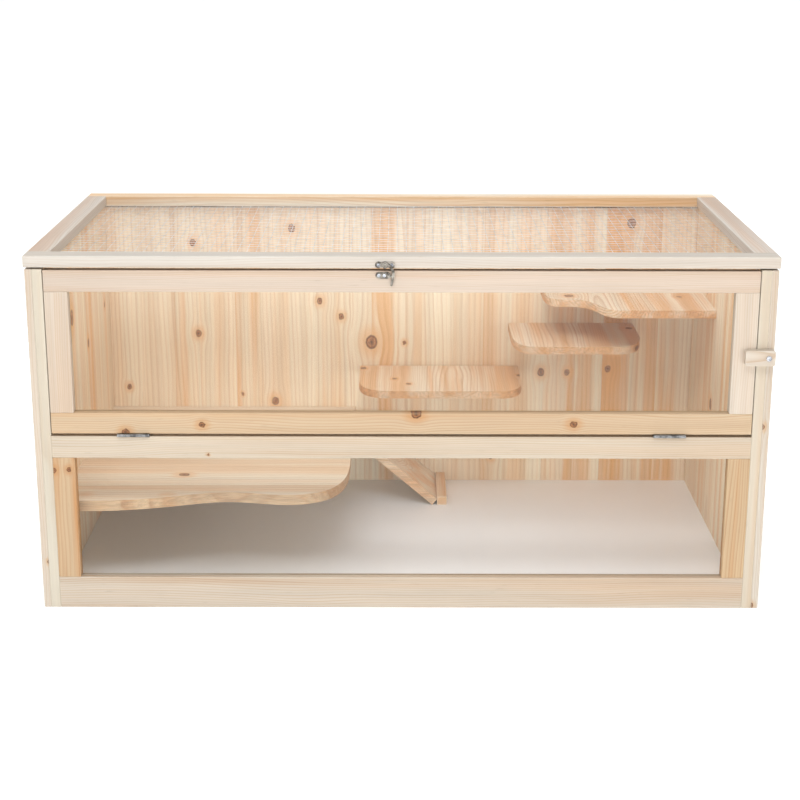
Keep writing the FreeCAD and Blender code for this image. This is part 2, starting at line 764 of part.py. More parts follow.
def latch_hook():
    """A flat hook: a boss on the rivet, an arm round the stud, a prong under the stud and a thumb tail."""
    x, z = latch_pivot()
    thick = number("hook_thick")
    front = number(f"{FRONT} - latch_plate_thick - hook_stand_off - hook_thick")
    inner, outer = number("hook_inner_radius"), number("hook_outer_radius")
    arm_x, arm_z = x + ARM_OFFSET[0], z - ARM_OFFSET[1]
    boss = disc(number("hook_boss_radius"), x, z, front, thick)
    ring = disc(outer, arm_x, arm_z, front, thick).cut(disc(inner, arm_x, arm_z, front, thick))
    low, high = [math.radians(turn) for turn in ARM_TURN]
    reach = 2 * outer
    rays = [Vector(arm_x + reach * math.cos(turn), front, arm_z + reach * math.sin(turn))
            for turn in (low, (low + high) / 2, high)]
    wedge = Part.Face(Part.makePolygon([Vector(arm_x, front, arm_z), *rays, Vector(arm_x, front, arm_z)]))
    arm = ring.common(wedge.extrude(Vector(0, thick, 0)))
    prong_top = z - STUD_OFFSET[1] - number("stud_radius + prong_clear")
    prong_high = number("prong_high")
    prong_corner = Vector(x + number("prong_start"), front, prong_top - prong_high)
    prong = Part.makeBox(number("prong_long"), thick, prong_high, prong_corner)
    right, wide, slant = x + number("tail_reach"), number("tail_wide"), number("tail_slant")
    tail_top = prong_top - number("tail_sink")
    tail_end = tail_top - number("tail_long")
    tail_points = [(right, tail_top), (right - wide, tail_top), (right - wide - slant, tail_end),
                   (right - slant, tail_end)]
    tail_face = Part.makePolygon([Vector(px, front, pz) for px, pz in [*tail_points, tail_points[0]]])
    tail = Part.Face(tail_face).extrude(Vector(0, thick, 0))
    thumb = disc(wide / 2, right - slant - wide / 2, tail_end, front, thick)
    hook = boss.fuse([arm, prong, tail, thumb]).removeSplitter()
    bore = through(number("rivet_radius + pin_clear"), x, z, front, thick)
    solid_feature("latch_hook", hook.cut(bore))


def latch_keeper():
    """The keeper's plate on the door, with the stud that the hook goes round."""
    x, z = latch_pivot()
    stud_x, stud_z = x + STUD_OFFSET[0], z - STUD_OFFSET[1]
    thick, long, high = number("latch_plate_thick"), number("keeper_long"), number("keeper_high")
    front, radius = number(FRONT) - thick, high / 2
    right, middle = stud_x + number("keeper_beyond_stud"), stud_z + number("keeper_above_stud") - radius
    left = right - long
    bar = Part.makeBox(long - 2 * radius, thick, high, Vector(left + radius, front, middle - radius))
    ends = [disc(radius, end, middle, front, thick) for end in (left + radius, right - radius)]
    screws = [left + radius, left + radius + number("keeper_screw_pitch")]
    hole = number("small_screw_radius + small_screw_clear")
    plate = bar.fuse(ends).removeSplitter()
    plate = plate.cut([through(hole, place, middle, front, thick) for place in screws])
    stud_long, stud = number("stud_long"), number("stud_radius")
    plate = plate.fuse(disc(stud, stud_x, stud_z, front - stud_long, stud_long)).removeSplitter()
    solid_feature("latch_keeper", plate)
    places = [Vector(place, front, middle) for place in screws]
    screw_node("keeper_screws", places, [Vector(0, 1, 0)] * len(places), "small", "small_screw_long",
               "small_screw_proud")


# ---- the whole cage ----

def check():
    """Stops if any object failed to recompute, or any sub-part has no valid closed solid."""
    for thing in doc.Objects:
        if "Invalid" in thing.State or "Error" in thing.State:
            raise RuntimeError(f"{thing.Label} did not recompute: {thing.State}")
    for node in nodes:
        shape = node.Shape
        if shape.isNull() or not shape.isValid() or not shape.Solids or shape.Volume <= 0:
            raise RuntimeError(f"{node.Label} is not a valid solid")
    if len({node.Label for node in nodes}) != len(nodes):
        raise RuntimeError("two sub-parts share a label")


def write():
    os.makedirs("parts", exist_ok=True)
    for node in nodes:
        node.Shape.exportStep(f"parts/{node.Label}.step")
    print(len(nodes), "sub-parts written")


fill_sheet()
cabinet()
door()
lid_frame()
platform()
shelves()
ramp()
lid_mesh()
mesh_staples()
frame_screws()
shelf_screws()
hinges()
hinge_screws()
turn_button()
latch_plate()
latch_rivet()
latch_hook()
latch_keeper()
doc.recompute()
check()
write()
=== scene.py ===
import math

import bpy
from mathutils import Euler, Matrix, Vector


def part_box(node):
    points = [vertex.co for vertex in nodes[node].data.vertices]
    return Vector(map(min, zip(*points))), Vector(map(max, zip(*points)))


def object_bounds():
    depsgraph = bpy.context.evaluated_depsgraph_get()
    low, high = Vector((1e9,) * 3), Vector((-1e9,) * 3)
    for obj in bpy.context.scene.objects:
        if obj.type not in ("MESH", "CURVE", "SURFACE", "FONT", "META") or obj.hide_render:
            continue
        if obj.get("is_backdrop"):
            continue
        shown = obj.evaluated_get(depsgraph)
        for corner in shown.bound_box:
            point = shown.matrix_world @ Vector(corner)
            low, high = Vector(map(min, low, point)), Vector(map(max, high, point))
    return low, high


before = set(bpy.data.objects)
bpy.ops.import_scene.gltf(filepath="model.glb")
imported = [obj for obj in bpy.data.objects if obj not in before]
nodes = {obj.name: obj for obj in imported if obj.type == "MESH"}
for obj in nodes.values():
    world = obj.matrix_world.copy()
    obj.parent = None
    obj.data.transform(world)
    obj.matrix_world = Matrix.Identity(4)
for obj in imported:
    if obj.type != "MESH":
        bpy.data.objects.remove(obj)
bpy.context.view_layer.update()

# Looks of the hamster cage: bare fir boards, clear panes, galvanised mesh and plated fittings.
# Everything is in metres. The CAD nodes stay where they are; this script gives them their finish and edges.

AXES = {"x": 0, "y": 1, "z": 2}
MM = 0.001


# ---- short calls that make shader nodes ----

class Graph:
    """Adds nodes to one tree. Any input may be a number, a colour or another node's output."""

    def __init__(self, tree):
        self.tree = tree

    def node(self, kind, inputs=None, **settings):
        made = self.tree.nodes.new(kind)
        for name, value in settings.items():
            setattr(made, name, value)
        for name, value in (inputs or {}).items():
            self.feed(made.inputs[name], value)
        return made

    def feed(self, socket, value):
        if isinstance(value, bpy.types.NodeSocket):
            self.tree.links.new(value, socket)
        else:
            socket.default_value = value

    def math(self, operation, *values, clamp=False):
        made = self.node("ShaderNodeMath", operation=operation, use_clamp=clamp)
        for socket, value in zip(made.inputs, values):
            self.feed(socket, value)
        return made.outputs[0]

    def vector(self, operation, *values):
        made = self.node("ShaderNodeVectorMath", operation=operation)
        for socket, value in zip(made.inputs, values):
            self.feed(socket, value)
        return made.outputs["Value" if operation == "LENGTH" else "Vector"]

    def scale(self, vector, factor):
        made = self.node("ShaderNodeVectorMath", {0: vector, "Scale": factor}, operation="SCALE")
        return made.outputs["Vector"]

    def split(self, vector):
        return self.node("ShaderNodeSeparateXYZ", {0: vector}).outputs

    def join(self, x, y, z):
        return self.node("ShaderNodeCombineXYZ", {0: x, 1: y, 2: z}).outputs[0]

    def noise(self, vector, scale=1.0, detail=2.0, rough=0.5, colour=False):
        inputs = {"Vector": vector, "Scale": scale, "Detail": detail, "Roughness": rough}
        made = self.node("ShaderNodeTexNoise", inputs)
        return made.outputs["Color" if colour else "Fac"]

    def step(self, value, low, high, out_low=0.0, out_high=1.0):
        """A smooth step from out_low at low to out_high at high."""
        made = self.node("ShaderNodeMapRange", interpolation_type="SMOOTHSTEP")
        for socket, given in zip(made.inputs, (value, low, high, out_low, out_high)):
            self.feed(socket, given)
        return made.outputs[0]

    def mix(self, share, a, b):
        made = self.node("ShaderNodeMix", data_type="RGBA", blend_type="MIX")
        colour_a, colour_b, result = made.inputs[6], made.inputs[7], made.outputs[2]
        for socket, given in ((made.inputs["Factor"], share), (colour_a, a), (colour_b, b)):
            self.feed(socket, given)
        return result

    def ramp(self, value, stops, interpolation="LINEAR"):
        made = self.node("ShaderNodeValToRGB", {0: value})
        ramp = made.color_ramp
        ramp.interpolation = interpolation
        while len(ramp.elements) < len(stops):
            ramp.elements.new(0.5)
        for element, (place, _) in zip(ramp.elements, stops):
            element.position = place
        for element, (_, colour) in zip(ramp.elements, stops):
            element.color = colour
        return made.outputs[0]

    def object_point(self):
        return self.node("ShaderNodeTexCoord").outputs["Object"]

    def bump(self, height, strength, distance):
        inputs = {"Height": height, "Strength": strength, "Distance": distance}
        return self.node("ShaderNodeBump", inputs).outputs[0]


def rgb(red, green, blue):
    """A colour given as display values of 0 to 255, as the linear one that shaders take."""
    linear = [((c / 255 + 0.055) / 1.055) ** 2.4 for c in (red, green, blue)]
    return (*linear, 1.0)


def material(name):
    made = bpy.data.materials.new(name)
    made.use_nodes = True
    graph = Graph(made.node_tree)
    shader = next(n for n in made.node_tree.nodes if n.type == "BSDF_PRINCIPLED")
    return made, graph, shader


def dress(names, finish):
    """Gives CAD nodes one material."""
    for name in names:
        slots = nodes[name].material_slots
        if not slots:
            nodes[name].data.materials.append(finish)
        for slot in slots:
            slot.material = finish


# ---- fir ----

PALE = rgb(236, 221, 200)
SUMMER = rgb(194, 148, 102)
AMBER = rgb(224, 170, 112)
ROSE = rgb(222, 188, 158)
KNOT = rgb(190, 128, 78)
BARK = rgb(84, 46, 26)
END_GRAIN = rgb(196, 152, 106)
RUBBED = rgb(250, 238, 216)

# How far the grain wanders from straight, and how much each ring wobbles, in metres.
DRIFT = 0.026
WOBBLE = 0.0012


def fir_group():
    """Wood seen anywhere in a log: growth rings round the pith, drifting grain, streaks of heartwood, fibres.

    Point is measured from the pith in metres, with the grain along Z.
    """
    tree = bpy.data.node_groups.new("fir", "ShaderNodeTree")
    sockets = [("Point", "NodeSocketVector"), ("Seed", "NodeSocketVector"), ("Ring", "NodeSocketFloat"),
               ("Amber", "NodeSocketFloat"), ("Rose", "NodeSocketFloat"), ("Contrast", "NodeSocketFloat")]
    for name, kind in sockets:
        tree.interface.new_socket(name, in_out="INPUT", socket_type=kind)
    tree.interface.new_socket("Color", in_out="OUTPUT", socket_type="NodeSocketColor")
    tree.interface.new_socket("Height", in_out="OUTPUT", socket_type="NodeSocketFloat")
    tree.interface.new_socket("Rough", in_out="OUTPUT", socket_type="NodeSocketFloat")
    g = Graph(tree)
    given = g.node("NodeGroupInput").outputs
    result = g.node("NodeGroupOutput")
    point, seed = given["Point"], given["Seed"]

    placed = g.vector("ADD", point, seed)
    drift = g.noise(g.vector("MULTIPLY", placed, (9.0, 9.0, 2.2)), detail=2.0, colour=True)
    drift = g.vector("MULTIPLY", g.vector("SUBTRACT", drift, (0.5, 0.5, 0.5)), (DRIFT, DRIFT, 0.0))
    tremble = g.noise(g.vector("MULTIPLY", placed, (70.0, 70.0, 9.0)), detail=1.0)
    bent = g.vector("ADD", point, drift)
    radius = g.vector("LENGTH", g.vector("MULTIPLY", bent, (1.0, 1.0, 0.0)))
    radius = g.math("ADD", radius, g.math("MULTIPLY", tremble, WOBBLE))
    count = g.math("DIVIDE", radius, given["Ring"])
    share = g.math("FRACT", count)
    year = g.math("FLOOR", count)
    strong = g.node("ShaderNodeTexWhiteNoise", {"W": year}, noise_dimensions="1D").outputs["Value"]
    # How dark one year's wood is: pale after the joint with the year before, dark at its late wood.
    darkness = ((0.0, 0.25), (0.12, 0.0), (0.55, 0.10), (0.86, 0.75), (0.95, 1.0), (1.0, 0.25))
    line = g.ramp(share, [(place, (grey, grey, grey, 1)) for place, grey in darkness])
    summer = g.math("MULTIPLY", line, g.math("MULTIPLY_ADD", strong, 0.75, 0.30))
    summer = g.math("MULTIPLY", summer, given["Contrast"], clamp=True)

    streak = g.noise(g.vector("MULTIPLY", placed, (34.0, 34.0, 1.3)), detail=3.0, rough=0.55)
    amber = g.math("MULTIPLY", g.step(streak, 0.40, 0.64), given["Amber"], clamp=True)
    amber = g.math("ADD", amber, g.math("MULTIPLY", summer, 0.22), clamp=True)
    blush = g.noise(g.vector("MULTIPLY", placed, (21.0, 21.0, 0.9)), detail=2.0)
    rose = g.math("MULTIPLY", g.step(blush, 0.42, 0.70), given["Rose"], clamp=True)
    fibre = g.noise(g.vector("MULTIPLY", placed, (1300.0, 1300.0, 22.0)), detail=3.0, rough=0.6)
    cloud = g.noise(g.vector("MULTIPLY", placed, (14.0, 14.0, 5.0)), detail=2.0)
    fleck = g.noise(g.vector("MULTIPLY", placed, (620.0, 620.0, 42.0)), detail=1.0)
    fleck = g.step(fleck, 0.70, 0.80)

    colour = g.mix(rose, PALE, ROSE)
    colour = g.mix(amber, colour, AMBER)
    colour = g.mix(g.math("MULTIPLY", summer, 0.72), colour, SUMMER)
    band = g.noise(g.vector("MULTIPLY", placed, (80.0, 80.0, 1.6)), detail=3.0, rough=0.6)
    shade = g.math("MULTIPLY_ADD", fibre, 0.22, 0.89)
    shade = g.math("MULTIPLY", shade, g.math("MULTIPLY_ADD", band, 0.30, 0.85))
    shade = g.math("MULTIPLY", shade, g.math("MULTIPLY_ADD", cloud, 0.12, 0.94))
    shade = g.math("SUBTRACT", shade, g.math("MULTIPLY", fleck, 0.12))
    colour = g.scale(colour, shade)

    height = g.math("SUBTRACT", g.math("MULTIPLY", fibre, 0.55), g.math("MULTIPLY", summer, 0.28))
    height = g.math("SUBTRACT", height, g.math("MULTIPLY", fleck, 0.6))
    rough = g.math("MULTIPLY_ADD", summer, -0.10, g.math("MULTIPLY_ADD", fibre, 0.16, 0.54))
    g.feed(result.inputs["Color"], colour)
    g.feed(result.inputs["Height"], height)
    g.feed(result.inputs["Rough"], rough)
    return tree


FIR = fir_group()


# The frame boards and the panels' outer faces are painted darker than the cabin's inside: a painted shade
# that stands in for the lamps lighting the cage's outside more than its inside.
# The nodes with one of these words in their names are the frame boards.
FRAME_WORDS = ("rail", "stile", "post", "strip", "button")
# The tint of that painted shade.
PAINTED_OUTER_SHADE = (0.635, 0.675, 0.73)

# A panel's painted-shade outside begins this far beyond the floor board's edge, in metres.
OUTER_CLEARANCE = 0.003
inside_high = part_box("floor_board")[1]


def edge_distance(g, point, low, high):
    """How far a point on a box-shaped board is from the nearest edge: the middle one of its three depths."""
    centre = (low + high) / 2
    half = (high - low) / 2
    offset = g.vector("ABSOLUTE", g.vector("SUBTRACT", point, tuple(centre)))
    depth = g.split(g.vector("SUBTRACT", tuple(half), offset))
    x, y, z = depth[0], depth[1], depth[2]
    return g.math("MAXIMUM", g.math("MINIMUM", x, y), g.math("MINIMUM", g.math("MAXIMUM", x, y), z))


# Knots: their measure along the grain against across it, how soon their push on the rings fades, how strong
# that push is, and how far their rims waver, in metres.
KNOT_LENGTHWAYS = 0.8
KNOT_FADE = -0.11
KNOT_PUSH = -0.72
KNOT_SHAKE = 0.0035

# Staves: the span of pith places that a colour ramp holds as 0 to 1, how far apart along the log the staves
# are cut, and half the width of a glue line, in metres.
PITH_SPAN_MM = 400
PITH_SPAN = 0.4
STAVE_SHIFT = 9.0
GLUE_LINE = 0.00035


def fir(name, grain, low, high, pith=(0.03, 0.05), ring=2.6, amber=0.5, rose=0.25, contrast=0.8, knots=(),
        staves=None, across=None, tint=(1.0, 1.0, 1.0), seed=0, boxed=True, outer_shade="none",
        sawn=(0.90, 0.80, 0.70)):
    """The finish of one board.

    grain and across are axis letters. pith is how far the pith lies from the board's middle, across the face
    and behind it. knots are (x, y, z, radius) in millimetres, with None for the axis that the branch runs
    along, or with all three for a knot that doesn't reach through the board.
    staves are (width in mm, pith across, pith behind, amber, rose) from the low side to the high side.
    sawn tints the upright edges of a board that is cut to an outline, which isn't boxed.
    aired is "all" for a board painted darker all over, "outside" for one painted darker on its outer face, or
    "none"; this is painted shade for the stronger light on the cage's outside.
    """
    made, g, shader = material(name)
    point = g.object_point()
    g_axis = AXES[grain]
    sizes = sorted((high[i] - low[i], i) for i in range(3) if i != g_axis)
    a_axis = AXES[across] if across else sizes[1][1]
    b_axis = 3 - g_axis - a_axis
    middle = (low + high) / 2
    parts = g.split(point)
    a = g.math("SUBTRACT", parts[a_axis], middle[a_axis])
    b = g.math("SUBTRACT", parts[b_axis], middle[b_axis])
    along = parts[g_axis]

    nearest, core_noise = None, None
    if knots:
        core_noise = g.noise(g.vector("MULTIPLY", point, (260.0, 260.0, 260.0)), detail=2.0, colour=True)
        shake = g.scale(g.vector("SUBTRACT", core_noise, (0.5, 0.5, 0.5)), KNOT_SHAKE)
        shaken = g.vector("ADD", point, shake)
        push = None
        for x, y, z, radius in knots:
            centre = [0.0 if c is None else c * MM for c in (x, y, z)]
            weight = [0.0 if c is None else 1.0 for c in (x, y, z)]
            weight[g_axis] *= KNOT_LENGTHWAYS
            offset = g.vector("MULTIPLY", g.vector("SUBTRACT", shaken, centre), weight)
            size = g.math("DIVIDE", g.vector("LENGTH", offset), radius * MM)
            near = g.math("EXPONENT", g.math("MULTIPLY", g.math("MULTIPLY", size, size), KNOT_FADE))
            side = g.split(offset)[a_axis]
            moved = g.math("MULTIPLY", g.math("MULTIPLY", side, near), KNOT_PUSH)
            push = moved if push is None else g.math("ADD", push, moved)
            nearest = size if nearest is None else g.math("MINIMUM", nearest, size)
        a = g.math("ADD", a, push)

    amber_in, rose_in = amber, rose
    pith_a, pith_b = pith
    joints = None
    if staves:
        total = sum(stave[0] for stave in staves)
        start, stops, more = 0.0, [], []
        for width, off_a, off_b, own_amber, own_rose in staves:
            place_a, place_b = 0.5 + off_a / PITH_SPAN_MM, 0.5 + off_b / PITH_SPAN_MM
            cut_from = (start * 7.3 % 100) / 100
            stops.append((start / total, (place_a, place_b, own_amber, 1.0)))
            more.append((start / total, (own_rose, cut_from, 0.0, 1.0)))
            start += width
        span = high[a_axis] - low[a_axis]
        share = g.math("DIVIDE", g.math("SUBTRACT", parts[a_axis], low[a_axis]), span)
        code = g.split(g.ramp(share, stops, "CONSTANT"))
        other = g.split(g.ramp(share, more, "CONSTANT"))
        pith_a = g.math("MULTIPLY_ADD", code[0], PITH_SPAN, -PITH_SPAN / 2)
        pith_b = g.math("MULTIPLY_ADD", code[1], PITH_SPAN, -PITH_SPAN / 2)
        amber_in, rose_in = code[2], other[0]
        along = g.math("ADD", along, g.math("MULTIPLY", other[1], STAVE_SHIFT))
        for place, _ in stops[1:]:
            hit = g.math("COMPARE", share, place, GLUE_LINE / span)
            joints = hit if joints is None else g.math("MAXIMUM", joints, hit)

    wood = g.node("ShaderNodeGroup", node_tree=FIR)
    local = g.join(g.math("SUBTRACT", a, pith_a), g.math("SUBTRACT", b, pith_b), along)
    wander = (seed * 3.17 % 11, seed * 1.71 % 7, seed * 2.39 % 13)
    for socket, value in (("Point", local), ("Seed", wander), ("Ring", ring * MM), ("Amber", amber_in),
                          ("Rose", rose_in), ("Contrast", contrast)):
        g.feed(wood.inputs[socket], value)
    colour, height, rough = wood.outputs["Color"], wood.outputs["Height"], wood.outputs["Rough"]

    if knots:
        halo = g.step(nearest, 3.4, 1.0)
        colour = g.mix(g.math("MULTIPLY", halo, 0.55), colour, AMBER)
        rings = g.math("MULTIPLY_ADD", g.math("SINE", g.math("MULTIPLY", nearest, 17.0)), 0.5, 0.5)
        mottle = g.split(core_noise)
        inside = g.mix(g.math("MULTIPLY", rings, 0.45), KNOT, BARK)
        inside = g.mix(g.step(mottle[0], 0.46, 0.62, 0.0, 0.55), inside, BARK)
        inside = g.mix(g.step(nearest, 0.46, 0.12, 0.0, 0.95), inside, BARK)
        ragged = g.math("MULTIPLY_ADD", mottle[1], 0.9, 0.15)
        rim = g.math("MULTIPLY", g.step(nearest, 0.70, 0.90), g.step(nearest, 1.16, 0.98))
        rim = g.math("MULTIPLY", rim, ragged, clamp=True)
        core = g.step(nearest, 1.10, 0.84)
        colour = g.mix(g.math("MULTIPLY", core, 0.9), colour, inside)
        colour = g.mix(rim, colour, BARK)
        height = g.math("SUBTRACT", height, g.math("MULTIPLY", rim, 1.2))
        rough = g.math("SUBTRACT", rough, g.math("MULTIPLY", core, 0.16))
    if joints is not None:
        colour = g.mix(g.math("MULTIPLY", joints, 0.10), colour, BARK)
        height = g.math("SUBTRACT", height, joints)

    normal = g.node("ShaderNodeTexCoord").outputs["Normal"]
    end = g.step(g.math("ABSOLUTE", g.split(normal)[g_axis]), 0.6, 0.9)
    colour = g.mix(g.math("MULTIPLY", end, 0.14), colour, END_GRAIN)
    if boxed:
        rub = g.noise(g.vector("MULTIPLY", point, (90.0, 90.0, 90.0)), detail=2.0)
        edge = g.step(g.math("ADD", edge_distance(g, point, low, high), g.math("MULTIPLY", rub, 0.0016)),
                      0.0026, 0.0010)
        colour = g.mix(g.math("MULTIPLY", edge, 0.30), colour, RUBBED)
        rough = g.math("ADD", rough, g.math("MULTIPLY", edge, 0.12))
    else:
        upright = g.step(g.math("ABSOLUTE", g.split(normal)[2]), 0.60, 0.30)
        fine = [320.0, 320.0, 320.0]
        fine[g_axis] = 24.0
        saw = g.noise(g.vector("MULTIPLY", point, tuple(fine)), detail=2.0, rough=0.6)
        edge_colour = g.scale(g.vector("MULTIPLY", colour, sawn), g.step(saw, 0.34, 0.66, 0.84, 1.10))
        colour = g.mix(upright, colour, edge_colour)
    # Painted shade: a frame board is darkened all over and a panel only on its outer face, standing in for
    # the stronger light on the cage's outside.
    if outer_shade == "all":
        tint = tuple(own * dimming for own, dimming in zip(tint, PAINTED_OUTER_SHADE))
    colour = g.vector("MULTIPLY", colour, tint)
    if outer_shade == "outside":
        beyond = [g.math("SUBTRACT", g.math("ABSOLUTE", parts[axis]), inside_high[axis] + OUTER_CLEARANCE)
                  for axis in (0, 1)]
        painted_shade_mask = g.step(g.math("MAXIMUM", *beyond), -0.001, 0.001)
        colour = g.mix(painted_shade_mask, colour, g.vector("MULTIPLY", colour, PAINTED_OUTER_SHADE))
    g.feed(shader.inputs["Base Color"], colour)
    g.feed(shader.inputs["Roughness"], rough)
    g.feed(shader.inputs["Normal"], g.bump(height, 0.35, 0.00035))
    shader.inputs["Specular IOR Level"].default_value = 0.35
    return made


# Each board: its grain, the pith's place, how wide its rings are, its colours, and its knots.
BOARDS = {
    "lid_front_rail": dict(grain="x", pith=(0.060, -0.050), ring=2.0, amber=0.10, rose=0.35, contrast=0.40,
                           seed=1, tint=(0.98, 1.0, 1.04)),
    # The lid's rear rail is tinted far lighter: painted light on its inner face, which the lamps only graze,
    # and it outweighs the painted outer shade.
    "lid_rear_rail": dict(grain="x", pith=(0.060, -0.050), ring=3.0, amber=0.75, rose=0.2, contrast=0.7,
                          seed=2, tint=(1.58, 1.62, 1.62)),
    "lid_left_rail": dict(grain="y", pith=(0.060, -0.060), ring=2.4, amber=0.15, rose=0.85, contrast=0.6,
                          seed=3, tint=(1.12, 1.12, 1.16)),
    "lid_right_rail": dict(grain="y", pith=(-0.055, -0.05), ring=2.4, amber=0.15, rose=0.9, contrast=0.6,
                           seed=4, tint=(1.15, 1.18, 1.26)),
    "door_top_rail": dict(grain="x", pith=(0.070, -0.05), ring=2.0, amber=0.22, rose=0.40, contrast=0.5,
                          seed=5, tint=(0.96, 0.88, 0.84)),
    "door_bottom_rail": dict(grain="x", pith=(0.060, 0.045), ring=2.6, amber=0.30, rose=0.3, contrast=0.75,
                             seed=6, tint=(0.95, 0.80, 0.62),
                             knots=[(-270, None, 267.5, 3.6), (20, None, 283, 5.5), (233, None, 269, 4.2),
                                    (-374, None, 257, 4.2)]),
    "door_left_stile": dict(grain="z", pith=(0.055, 0.05), ring=2.2, amber=0.25, rose=0.35, contrast=0.5,
                            seed=7, tint=(1.0, 0.97, 0.95)),
    "door_right_stile": dict(grain="z", pith=(-0.055, 0.05), ring=2.2, amber=0.2, rose=0.3, contrast=0.5,
                             seed=8, tint=(1.03, 1.03, 1.03)),
    "front_middle_rail": dict(grain="x", pith=(0.060, 0.045), ring=2.3, amber=0.22, rose=0.05, contrast=0.6,
                              seed=9, tint=(0.95, 0.90, 0.83), knots=[(-263, None, 225, 1.3)]),
    "front_bottom_rail": dict(grain="x", pith=(-0.062, 0.045), ring=2.5, amber=0.30, rose=0.1, contrast=0.75,
                              seed=10, tint=(0.93, 0.89, 0.85)),
    "lower_left_stile": dict(grain="z", pith=(0.030, 0.04), ring=2.8, amber=1.0, rose=0.0, contrast=0.8,
                             seed=11, tint=(0.89, 0.70, 0.50),
                             knots=[(-454, None, 203, 3.0), (-474, None, 202, 3.0)]),
    "lower_right_stile": dict(grain="z", pith=(-0.030, 0.03), ring=3.0, amber=1.0, rose=0.0, contrast=0.8,
                              seed=12, tint=(0.89, 0.70, 0.49)),
    "left_front_post": dict(grain="z", across="x", pith=(0.045, 0.04), ring=2.2, amber=0.2, rose=0.3,
                            contrast=0.55, seed=13, knots=[(None, -232, 60, 5.0), (-488, None, 68, 2.4)]),
    "right_front_post": dict(grain="z", across="x", pith=(-0.040, 0.04), ring=2.2, amber=0.25, rose=0.3,
                             contrast=0.55, seed=14,
                             knots=[(489, None, 266, 3.2), (478, None, 204, 2.4), (489, None, 4, 3.0),
                                    (None, -228, 330, 5.5)]),
    "left_rear_post": dict(grain="z", across="y", pith=(0.02, 0.04), ring=2.6, amber=0.5, contrast=0.75,
                           seed=15, knots=[(None, 226, 300, 5.5)]),
    "right_rear_post": dict(grain="z", across="y", pith=(0.01, 0.04), ring=3.0, amber=0.4, contrast=0.75,
                            seed=16),
    "left_bottom_strip": dict(grain="y", pith=(0.01, 0.04), ring=2.8, amber=0.4, contrast=0.8, seed=17),
    "left_top_strip": dict(grain="y", pith=(0.02, 0.04), ring=3.0, amber=0.3, contrast=0.8, seed=18,
                           knots=[(None, 60, 452, 5.0)]),
    "right_bottom_strip": dict(grain="y", pith=(0.0, 0.045), ring=3.0, amber=0.5, contrast=0.8, seed=19,
                               knots=[(None, -40, 20, 5.5)]),
    "right_top_strip": dict(grain="y", pith=(0.015, 0.05), ring=2.6, amber=0.3, contrast=0.7, seed=20),
    "floor_batten_left": dict(grain="y", amber=0.6, seed=21),
    "floor_batten_right": dict(grain="y", amber=0.6, seed=22),
    "floor_batten_front": dict(grain="x", amber=0.6, seed=23),
    "floor_batten_rear": dict(grain="x", amber=0.6, seed=24),
    "turn_button": dict(grain="x", pith=(0.01, 0.03), ring=2.0, amber=0.1, rose=0.2, contrast=0.6, seed=25,
                        tint=(1.0, 0.99, 0.98)),
    "platform": dict(grain="x", across="y", pith=(0.095, 0.075), ring=7.5, amber=0.40, rose=0.35,
                     contrast=0.8, seed=26, boxed=False, tint=(0.97, 0.99, 1.0), sawn=(0.62, 0.49, 0.37),
                     knots=[(-316, -108, None, 6.0), (-330, -192, 138, 5.2), (-445, -192, 137, 5.4)]),
    "shelf_low": dict(grain="y", across="x", pith=(0.02, 0.05), ring=3.0, amber=0.7, rose=0.25, contrast=0.9,
                      seed=27, boxed=False, tint=(0.98, 0.96, 0.94),
                      knots=[(-11, 156, None, 3.4), (11, 127, None, 3.6), (-62, 219, None, 4.4),
                             (190, 178, None, 3.8)]),
    "shelf_middle": dict(grain="y", across="x", pith=(-0.03, 0.05), ring=3.2, amber=0.7, rose=0.3,
                         contrast=1.0, seed=28, boxed=False,
                         knots=[(367, 200, None, 5.0), (367, None, 283, 3.4)]),
    "shelf_high": dict(grain="y", across="x", pith=(-0.045, 0.03), ring=4.2, amber=0.8, rose=0.3,
                       contrast=1.0, seed=29, boxed=False, tint=(0.98, 0.96, 0.94),
                       knots=[(434, 131, None, 4.0), (262, 137, None, 6.5)]),
    "ramp": dict(grain="x", across="y", pith=(0.0, 0.05), ring=3.4, amber=0.6, rose=0.1, contrast=0.8,
                 seed=30, boxed=False, knots=[(52, None, 50, 2.6), (47, None, 62, 2.4)]),
    "ramp_stop": dict(grain="y", across="x", amber=0.7, seed=31),
}

# The panels are glued up from upright staves: width, pith across and behind (all mm), amber, rose.
BACK_STAVES = [
    (52, 60, 40, 0.25, 0.35), (52, -70, 30, 0.20, 0.35), (38, 45, 25, 0.65, 0.35), (62, 14, 60, 0.30, 0.25),
    (42, -40, 16, 0.80, 0.20), (86, 2, 20, 0.30, 0.30), (60, -50, 30, 0.45, 0.35), (34, 50, 50, 0.15, 0.60),
    (58, 24, 34, 0.75, 0.30), (24, 40, 30, 0.50, 0.40), (52, -60, 45, 0.20, 0.50), (46, 50, 60, 0.30, 0.55),
    (42, 35, 45, 0.45, 0.40), (60, -50, 50, 0.45, 0.45), (52, 30, 30, 0.80, 0.45), (46, 55, 40, 0.75, 0.60),
    (42, -40, 22, 0.95, 0.50), (46, 40, 60, 0.80, 0.60), (57, -45, 40, 0.85, 0.55),
]
BACK_KNOTS = [
    (-332, None, 271, 4.6), (-133, None, 326, 4.2), (-98, None, 300, 4.0), (-49, None, 257, 9.0),
    (5, None, 256, 2.8), (-208, None, 156, 5.4), (-449, None, 180, 3.6), (-262, None, 168, 2.2),
    (230, None, 206, 5.2), (273, None, 206, 4.2), (340, None, 212, 4.6), (370, None, 455, 6.5),
    (-177, None, 446, 5.2), (-337, None, 422, 4.6), (-60, None, 90, 5.0), (150, None, 60, 4.0),
]
